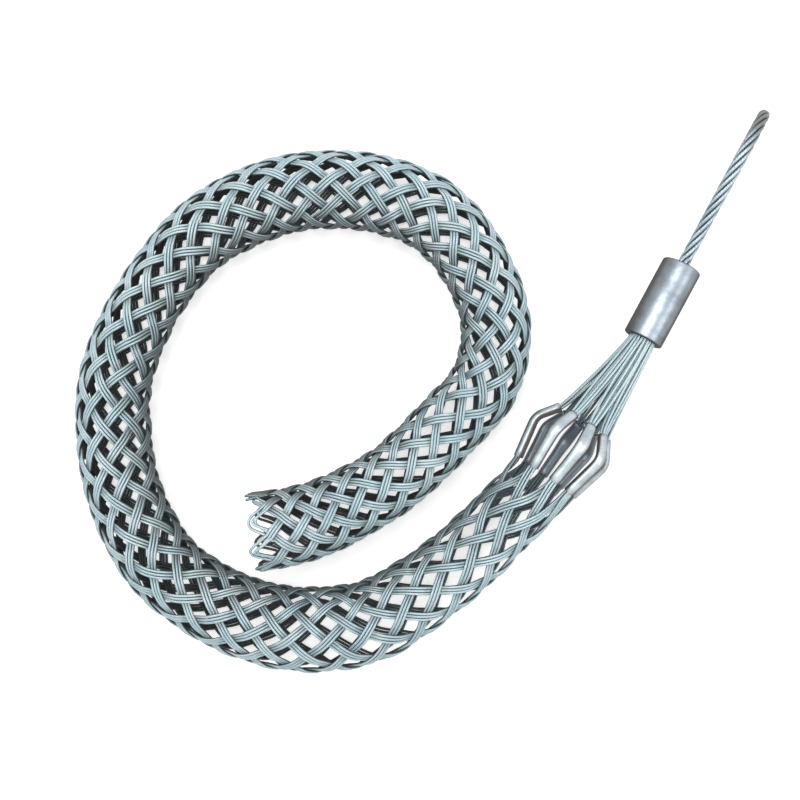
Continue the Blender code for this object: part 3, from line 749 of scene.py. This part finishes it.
def guard_line(index):
    """Points of a guard tube's axis, the direction out of the cage and the one round it."""
    angle = np.full(1, guard_angle(index))
    path = guard_path()
    points = CAGE.at(path[:, 0], path[:, 1], np.full(len(path), angle[0]))
    around = np.broadcast_to(CAGE.around(angle)[0], points.shape)
    tangent = unit(np.gradient(points, axis=0))
    out = unit(np.cross(around, tangent))
    return points, out * np.sign(np.dot(out[0], CAGE.outward(angle)[0])), around


def build_guard(index):
    points, out, around = guard_line(index)
    along = lengths_along(points)
    share = along / along[-1]
    angle = circle(GUARD_SIDES)
    # Flattened a little more at the knee, and rounder where the strands go in and out
    knee = np.exp(-(((share - KNEE_PLACE[0]) / KNEE_PLACE[1]) ** 2))
    start, more, at_knee = GUARD_NARROW
    width = GUARD_WIDTH / 2 * (start + more * share + at_knee * knee)
    height = GUARD_HEIGHT / 2 * (1.0 - KNEE_FLAT * knee)
    tangent = unit(np.gradient(points, axis=0))

    def ring_at(k, inset, push=0.0):
        wide = np.cos(angle)[:, None] * around[k] * (width[k] - inset)
        high = np.sin(angle)[:, None] * out[k] * (height[k] - inset)
        return points[k] + tangent[k] * push + wide + high

    rim = GUARD_WALL / 2
    rings = [ring_at(0, rim, -rim * RIM_ROUND)]
    rings += [ring_at(k, 0.0) for k in range(len(points))]
    rings += [ring_at(-1, rim, rim * RIM_ROUND)]
    rings += [ring_at(k, GUARD_WALL) for k in reversed(range(len(points)))]
    rings.append(rings[0])
    faces = grid_faces(len(rings), GUARD_SIDES)
    # Along the tube outside, and 2 inside
    places = np.concatenate([share[:1], share, share[-1:], np.full(len(points) + 1, 2.0)])
    ring = ring_map(places, GUARD_SIDES)
    return new_piece(f"guard_tube_look_{index + 1}", np.concatenate(rings), faces, tube_look, ring)


# Bands of the weave
def band_centre(rows, way, band):
    """Distance along the sleeve and angle round it of a band's middle at rows."""
    distance = row_distance(rows)
    settled = GUARD_SETTLED[band] * (1 - smooth(rows / SETTLED_ROWS))
    settled = np.radians(settled + between(MESH_TURN, np.clip(distance / LENGTH, 0, 1)))
    return distance, even_angle(band) + settled + way * parted(rows) * math.pi / BANDS


def seat_in_tube(index, span, way, k):
    """Places of one strand inside a guard tube, which holds three side by side in two layers."""
    tube, out, around = guard_line(index)
    places = tube[span] + out[span] * way * TUBE_LAYER + around[span] * k * TUBE_SPACE
    return places, out[span]


def band_strand(way, band, k):
    """One strand of a band, from inside its guard tube to where its tail loop starts."""
    end = END_ROW - LOOP_ROWS
    rows = np.linspace(0, end, int(end * RING_STEPS) + 1)
    distance, angle = band_centre(rows, way, band)
    radius = sleeve_radius(np.clip(distance / LENGTH, 0, 1)) - 2 * STRAND_RADIUS
    dx = np.gradient(distance, rows)
    dy = np.gradient(angle, rows) * radius
    size = np.hypot(dx, dy)
    seed = FIRST_SEED + BAND_SEEDS * band + (0 if way > 0 else BACK_SEED)
    free = smooth(rows / FREE_ROWS[0]) * smooth((end - rows) / FREE_ROWS[1])
    shift = k * STRAND_SPACE * (1 + wander(rows, seed + 5 + k, *SPACE_WANDER) * free)
    shift = shift + wander(rows, seed, *BAND_WANDER) * free
    along = distance - shift * dy / size
    across = angle + shift * dx / size / radius
    # All of the slip at the bottom, and none at the top
    slip = np.radians(between(FLOOR_SLIP, np.clip(distance / LENGTH, 0, 1)))
    across = across + slip * (1 - np.sin(across)) / 2
    layer = wave(parted(rows)) * way
    depth = STRAND_RADIUS * (2 - layer) + wander(rows, seed + 9 + k, *DEPTH_WANDER) * free
    points = sleeve_point(along, across, depth)
    normal = sleeve_axis(along).outward(across)
    inside, out = seat_in_tube(band, slice(TUBE_SPLIT, 0, -1), way, k)
    layer = np.concatenate([np.full(len(inside), layer[0]), layer[1:]])
    return np.concatenate([inside, points[1:]]), np.concatenate([out, normal[1:]]), layer


def tail_loop(band, k):
    """A strand's turn at the tail, from its rising band to its falling one, in the unrolled sleeve."""
    distance, angle = band_centre(np.array([END_ROW - LOOP_ROWS, END_ROW]), 1, band)
    radius = float(sleeve_radius(np.array(1.0))) - 2 * STRAND_RADIUS
    tip = np.array([distance[1], angle[1] * radius])
    back = tip - np.array([distance[0], angle[0] * radius])
    slope = math.atan2(back[1], back[0])
    mirror = np.array([1.0, -1.0])
    start = k * STRAND_SPACE * np.array([-math.sin(slope), math.cos(slope)]) - back
    slack = LOOP_SLACK[(3 * band + k) % len(LOOP_SLACK)]
    bend = LOOP_RADIUS - k * STRAND_SPACE
    centre = np.array([-(k * STRAND_SPACE - slack + bend) / math.sin(slope), 0.0])
    turn = np.linspace(slope - math.pi / 2, math.pi / 2 - slope, LOOP_RINGS)
    arc = centre + bend * np.stack([np.cos(turn), np.sin(turn)], -1)
    leg = start + (arc[0] - start) * np.array(LOOP_LEG_SHARES)[:, None]
    flat = np.concatenate([leg, arc, leg[::-1] * mirror])
    lean = np.sin(np.linspace(0, math.pi, len(flat) + 2)[1:-1])
    low_side = (1 - math.cos(angle[1] - math.radians(LOOP_LOW))) / 2
    flat[:, 0] += LOOP_SKEW * low_side * lean**LOOP_SKEW_POWER
    flat = flat + tip
    depth = 2 * STRAND_RADIUS - lean * k * LOOP_LIFT * STRAND_RADIUS
    across = flat[:, 1] / radius
    return sleeve_point(flat[:, 0], across, depth), sleeve_axis(flat[:, 0]).outward(across)


def cut_end(degrees, reach, slant):
    """A strand's cut end, lying on the lattice and pointing out of the tail."""
    t = np.linspace(0, 1, CUT_RINGS)  # along the end
    radius = float(sleeve_radius(np.array(1.0)))
    distance = LENGTH + reach - CUT_LENGTH * (1 - t)
    across = math.radians(degrees) + math.tan(math.radians(slant)) * (distance - LENGTH) / radius
    depth = STRAND_RADIUS * (CUT_DEPTH[0] - CUT_DEPTH[1] * t)
    return sleeve_point(distance, across, depth), sleeve_axis(distance).outward(across)


def build_band(band):
    """Three strands that leave one guard tube, turn at the tail and come back to another tube."""
    rods = Rods()
    for k in (-1, 0, 1):
        there, there_out, there_layer = band_strand(1, band, k)
        turn, turn_out = tail_loop(band, k)
        back, back_out, back_layer = band_strand(-1, (band + LAST_TURN) % BANDS, -k)
        points = np.concatenate([there, turn, back[::-1]])
        points[:, 2] = np.maximum(points[:, 2], STRAND_RADIUS)  # not into the floor
        normal = np.concatenate([there_out, turn_out, back_out[::-1]])
        layer = np.concatenate([there_layer, np.full(len(turn), LOOP_LAYER), back_layer[::-1]])
        rods.sweep(points, normal, STRAND_RADIUS, STRAND_SIDES, layer * 0.5 + 0.5, rng.rand())
    if band == 0:
        for end in CUT_ENDS:
            rods.sweep(*cut_end(*end), STRAND_RADIUS, STRAND_SIDES, 0.0, rng.rand())
    return rods.piece(f"looped_band_{band + 1}", strand_look)


# Strands from the guard tubes to the ferrule
def fan_strand(index, way, k):
    """One strand from inside a guard tube to its place in the ferrule's mouth."""
    inside, out = seat_in_tube(index, slice(TUBE_SPLIT + 1, None), way, k)
    circle_radius, spread = MOUTH_PLACES[(way, abs(k))]
    angle = even_angle(index) + math.radians(k * spread + rng.uniform(-MOUTH_LOOSE, MOUTH_LOOSE))
    at_mouth = HEAD.at(0.0, circle_radius, angle)
    leave = unit(inside[-1] - inside[-2])
    span = np.linalg.norm(at_mouth - inside[-1])
    leave = leave * span * FAN_PULL[0] * rng.uniform(*PULL_OUT_RANGE)
    enter = HEAD.forward * span * FAN_PULL[1] * rng.uniform(*PULL_IN_RANGE)
    t = (np.arange(1, FAN_RINGS) / FAN_RINGS)[:, None]
    free = inside[-1] * (1 + 2 * t) * (1 - t) ** 2 + leave * t * (1 - t) ** 2
    free = free + at_mouth * t**2 * (3 - 2 * t) - enter * t**2 * (1 - t)
    around = CAGE.around(np.full(1, guard_angle(index)))[0]
    apart = around * (k * FAN_SPREAD + rng.uniform(-1, 1) * FAN_LOOSE)
    apart = apart + out[0] * way * FAN_SPREAD * FAN_LAYER_SPREAD
    free = free + apart * np.sin(math.pi * t) ** FAN_SPREAD_POWER
    depths = np.array(MOUTH_SHARES) * MOUTH_DEPTH
    in_mouth = HEAD.at(depths, np.full(3, circle_radius), np.full(3, angle))
    points = np.concatenate([inside, free, in_mouth])
    normal = np.broadcast_to(UP * 0.3 + out[0], points.shape)
    return points, normal


def build_fan(index):
    """The six strands of one guard tube, from inside it into the ferrule."""
    rods = Rods()
    radius = STRAND_RADIUS * FAN_SCALE
    for way in (1, -1):
        for k in (-1, 0, 1):
            points, normal = fan_strand(index, way, k)
            rods.sweep(points, normal, radius, FAN_SIDES, FAN_LAYER[way], rng.rand())
    return rods.piece(f"strand_fan_{index + 1}", fan_look)


# Ferrule
def rounded(corners, reaches):
    """Outline through corners, each rounded off from its reach before it to its reach after it."""
    corners = np.asarray(corners, float)
    t = (np.arange(ROUNDING_STEPS + 1) / ROUNDING_STEPS)[:, None]
    line = [corners[:1]]
    for before, corner, after, reach in zip(corners, corners[1:], corners[2:], reaches):
        a, b = corner + unit(before - corner) * reach, corner + unit(after - corner) * reach
        line.append(a * (1 - t) ** 2 + 2 * corner * t * (1 - t) + b * t**2)
    return np.concatenate([*line, corners[-1:]])


def build_ferrule():
    end, outer, inner = FERRULE_LENGTH, FERRULE_RADIUS, MOUTH_RADIUS
    corners = [(end, 0), (end, outer), (0, outer), (0, inner), (MOUTH_DEPTH, inner), (MOUTH_DEPTH, 0)]
    outline = rounded(corners, FERRULE_ROUNDING)
    angle = circle(FERRULE_SIDES)
    rings = [HEAD.at(np.full(FERRULE_SIDES, x), np.full(FERRULE_SIDES, r), -angle) for x, r in outline]
    faces = grid_faces(len(rings), FERRULE_SIDES)
    return new_piece("ferrule_look", np.concatenate(rings), faces, ferrule_look)


# Eye
def eye_line():
    """Even points of the eye's rope, from one leg's end round to the other's, and the eye's normal."""
    roll = math.radians(EYE_ROLL)
    across = UP * math.cos(roll) + HEAD.left * math.sin(roll)
    widest = EYE_LENGTH - EYE_ROPE_RADIUS - EYE_HALF_WIDTH
    slope, spread = widest - EYE_NECK, EYE_HALF_WIDTH - EYE_LEG_OFFSET
    half = [
        (-EYE_LEG_DEPTH, EYE_LEG_OFFSET),
        (0.0, EYE_LEG_OFFSET),
        (EYE_NECK, EYE_LEG_OFFSET),
        *((EYE_NECK + slope * a, EYE_LEG_OFFSET + spread * b) for a, b in EYE_SHOULDERS),
    ]
    for step in range(EYE_ARC_STEPS):
        angle = math.pi * step / (2 * EYE_ARC_STEPS)
        half.append((widest + EYE_HALF_WIDTH * math.sin(angle), EYE_HALF_WIDTH * math.cos(angle)))
    places = half + [(widest + EYE_HALF_WIDTH, 0.0)] + [(along, -out) for along, out in reversed(half)]
    points = [HEAD.point + HEAD.forward * (FERRULE_LENGTH + x) + across * y for x, y in places]
    line = spline_through([2 * points[0] - points[1], *points, 2 * points[-1] - points[-2]])
    along = lengths_along(line)
    even = np.linspace(0, along[-1], EYE_RINGS)
    line = np.stack([np.interp(even, along, line[:, i]) for i in range(3)], -1)
    return line, np.cross(HEAD.forward, across)


def wire_section(angle):
    """A rope strand's radius round it, with a groove between every two wires."""
    return 1 - WIRE_GROOVE[0] * (0.5 - 0.5 * np.cos(angle * ROPE_WIRES)) ** WIRE_GROOVE[1]


def build_eye():
    line, facing = eye_line()
    tangent = unit(np.gradient(line, axis=0))
    normal = np.broadcast_to(facing, line.shape)
    side = np.cross(tangent, normal)
    along = lengths_along(line)
    share = along / along[-1]
    bend = 1 - np.abs(share - 0.5) * 2
    strand = EYE_ROPE_RADIUS / 3
    radius = strand * ROPE_STRAND_RADIUS
    lay = 2 * math.pi * WIRE_TURNS / ROPE_LAY
    rods = Rods()
    for index in range(ROPE_STRANDS):
        angle = 2 * math.pi * (index / ROPE_STRANDS + along / ROPE_LAY)
        out = np.cos(angle)[:, None] * normal + np.sin(angle)[:, None] * side
        centre = line + out * strand * ROPE_STRAND_OUT
        rods.sweep(centre, out, radius, ROPE_WIRES * 4, bend, 0.5, wire_section, lay)
    return rods.piece("eye_rope_look", rope_look)


for index in range(BANDS):
    dress(build_band(index), "woven_sleeve")
for index in range(GUARDS):
    dress(build_guard(index), f"guard_tube_{index + 1}")
    dress(build_fan(index), f"strand_bundle_{index + 1}")
dress(build_ferrule(), "ferrule")
dress(build_eye(), "eye_rope")


# Floor, light and camera
def build_floor():
    mesh = bpy.data.meshes.new("floor")
    s = FLOOR_HALF
    mesh.from_pydata([(-s, -s, 0), (s, -s, 0), (s, s, 0), (-s, s, 0)], [], [(0, 1, 2, 3)])
    floor = bpy.data.objects.new("floor", mesh)
    bpy.context.scene.collection.objects.link(floor)
    n = Nodes("floor_look")
    path = n.new("ShaderNodeLightPath")
    seen = n.math("MAXIMUM", path.outputs["Is Camera Ray"], path.outputs["Is Transmission Ray"])
    seen = n.math("MAXIMUM", seen, path.outputs["Is Glossy Ray"])
    pale = n.mix(n.noise(n.place(), 30.0), *FLOOR_PALE)
    n.put(n.shader.inputs["Emission Color"], pale)
    n.put(n.shader.inputs["Emission Strength"], n.math("MULTIPLY", seen, FLOOR_GLOW))
    n.shader.inputs["Specular IOR Level"].default_value = 0.0
    n.finish(n.mix(seen, FLOOR_DARK, pale), 0.0, 0.9)
    mesh.materials.append(n.material)


def add_area(name, location, size, power):
    """Square lamp that points at the middle."""
    light = bpy.data.lights.new(name, "AREA")
    light.shape = "RECTANGLE"
    light.size = light.size_y = size
    light.energy = power
    obj = bpy.data.objects.new(name, light)
    obj.location = location
    obj.rotation_euler = (-Vector(location)).to_track_quat("-Z", "Y").to_euler()
    bpy.context.scene.collection.objects.link(obj)


def build_world():
    """White where it is seen or mirrored, and dimmer as light on the object."""
    world = bpy.data.worlds.new("studio")
    world.use_nodes = True
    bpy.context.scene.world = world
    tree = world.node_tree
    sky = tree.nodes["Background"]
    path = tree.nodes.new("ShaderNodeLightPath")
    strength = tree.nodes.new("ShaderNodeMapRange")
    strength.inputs["To Min"].default_value = WORLD_STRENGTH
    strength.inputs["To Max"].default_value = 1.0
    seen = path.outputs["Is Camera Ray"]
    for ray in ("Is Glossy Ray", "Is Transmission Ray"):
        either = tree.nodes.new("ShaderNodeMath")
        either.operation = "MAXIMUM"
        tree.links.new(seen, either.inputs[0])
        tree.links.new(path.outputs[ray], either.inputs[1])
        seen = either.outputs[0]
    tree.links.new(seen, strength.inputs["Value"])
    tree.links.new(strength.outputs["Result"], sky.inputs["Strength"])
    sky.inputs["Color"].default_value = (1, 1, 1, 1)


def build_camera():
    data = bpy.data.cameras.new("camera")
    data.sensor_fit = "HORIZONTAL"
    data.sensor_width = SENSOR
    data.lens = SENSOR / 2 / (PIXEL_SPREAD * PICTURE_HALF)
    data.clip_start = 0.01
    camera = bpy.data.objects.new("camera", data)
    camera.location = Vector(ORIGIN) + Vector((0, 0, CAMERA_HEIGHT))
    bpy.context.scene.collection.objects.link(camera)
    bpy.context.scene.camera = camera


build_floor()
build_world()
add_area("key_light", *KEY_LIGHT)
add_area("fill_light", *FILL_LIGHT)
build_camera()
bpy.context.scene.view_settings.view_transform = "Standard"
